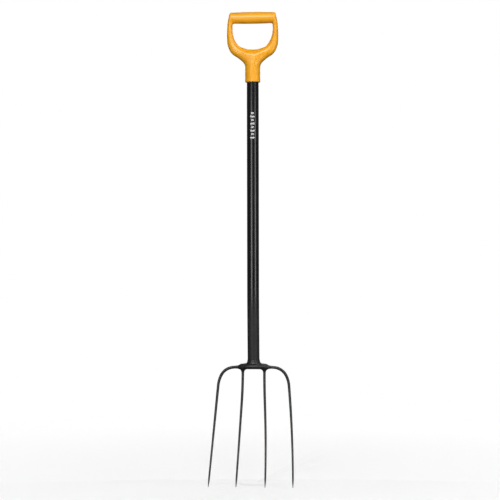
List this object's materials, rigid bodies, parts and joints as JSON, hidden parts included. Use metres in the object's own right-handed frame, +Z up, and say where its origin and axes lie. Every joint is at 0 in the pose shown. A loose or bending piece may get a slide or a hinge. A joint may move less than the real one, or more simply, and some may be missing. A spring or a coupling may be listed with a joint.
{
  "type": "compost fork",
  "caption": "Long-shafted compost fork: slim curved round tines on a forged yoke, a steel tube shaft and a yellow plastic D-handle.",
  "frame": {"origin": "middle of the fork's footprint in plan, on the ground under the tine tips", "axes": "+Z up along the upper shaft to the grip, +X across the head to the user's right seen from the front, +Y to the back; the tines curve forward, towards -Y"},
  "size_m": [0.2174, 0.114, 1.21],
  "materials": {
    "handle_plastic": "satin moulded plastic, warm yellow",
    "shaft_coating": "glossy black coating",
    "head_coating": "matt dark grey coating over forged steel",
    "screw_steel": "zinc-plated steel"
  },
  "bodies": {
    "root": {"d_handle": "handle_plastic", "handle_screw": "screw_steel", "shaft_tube": "shaft_coating", "head_yoke": "head_coating", "weld_shaft": "head_coating", "tine_outer_left": "head_coating", "tine_inner_left": "head_coating", "weld_outer_left": "head_coating", "weld_inner_left": "head_coating", "tine_outer_right": "head_coating", "tine_inner_right": "head_coating", "weld_outer_right": "head_coating", "weld_inner_right": "head_coating"}
  },
  "joints": []
}
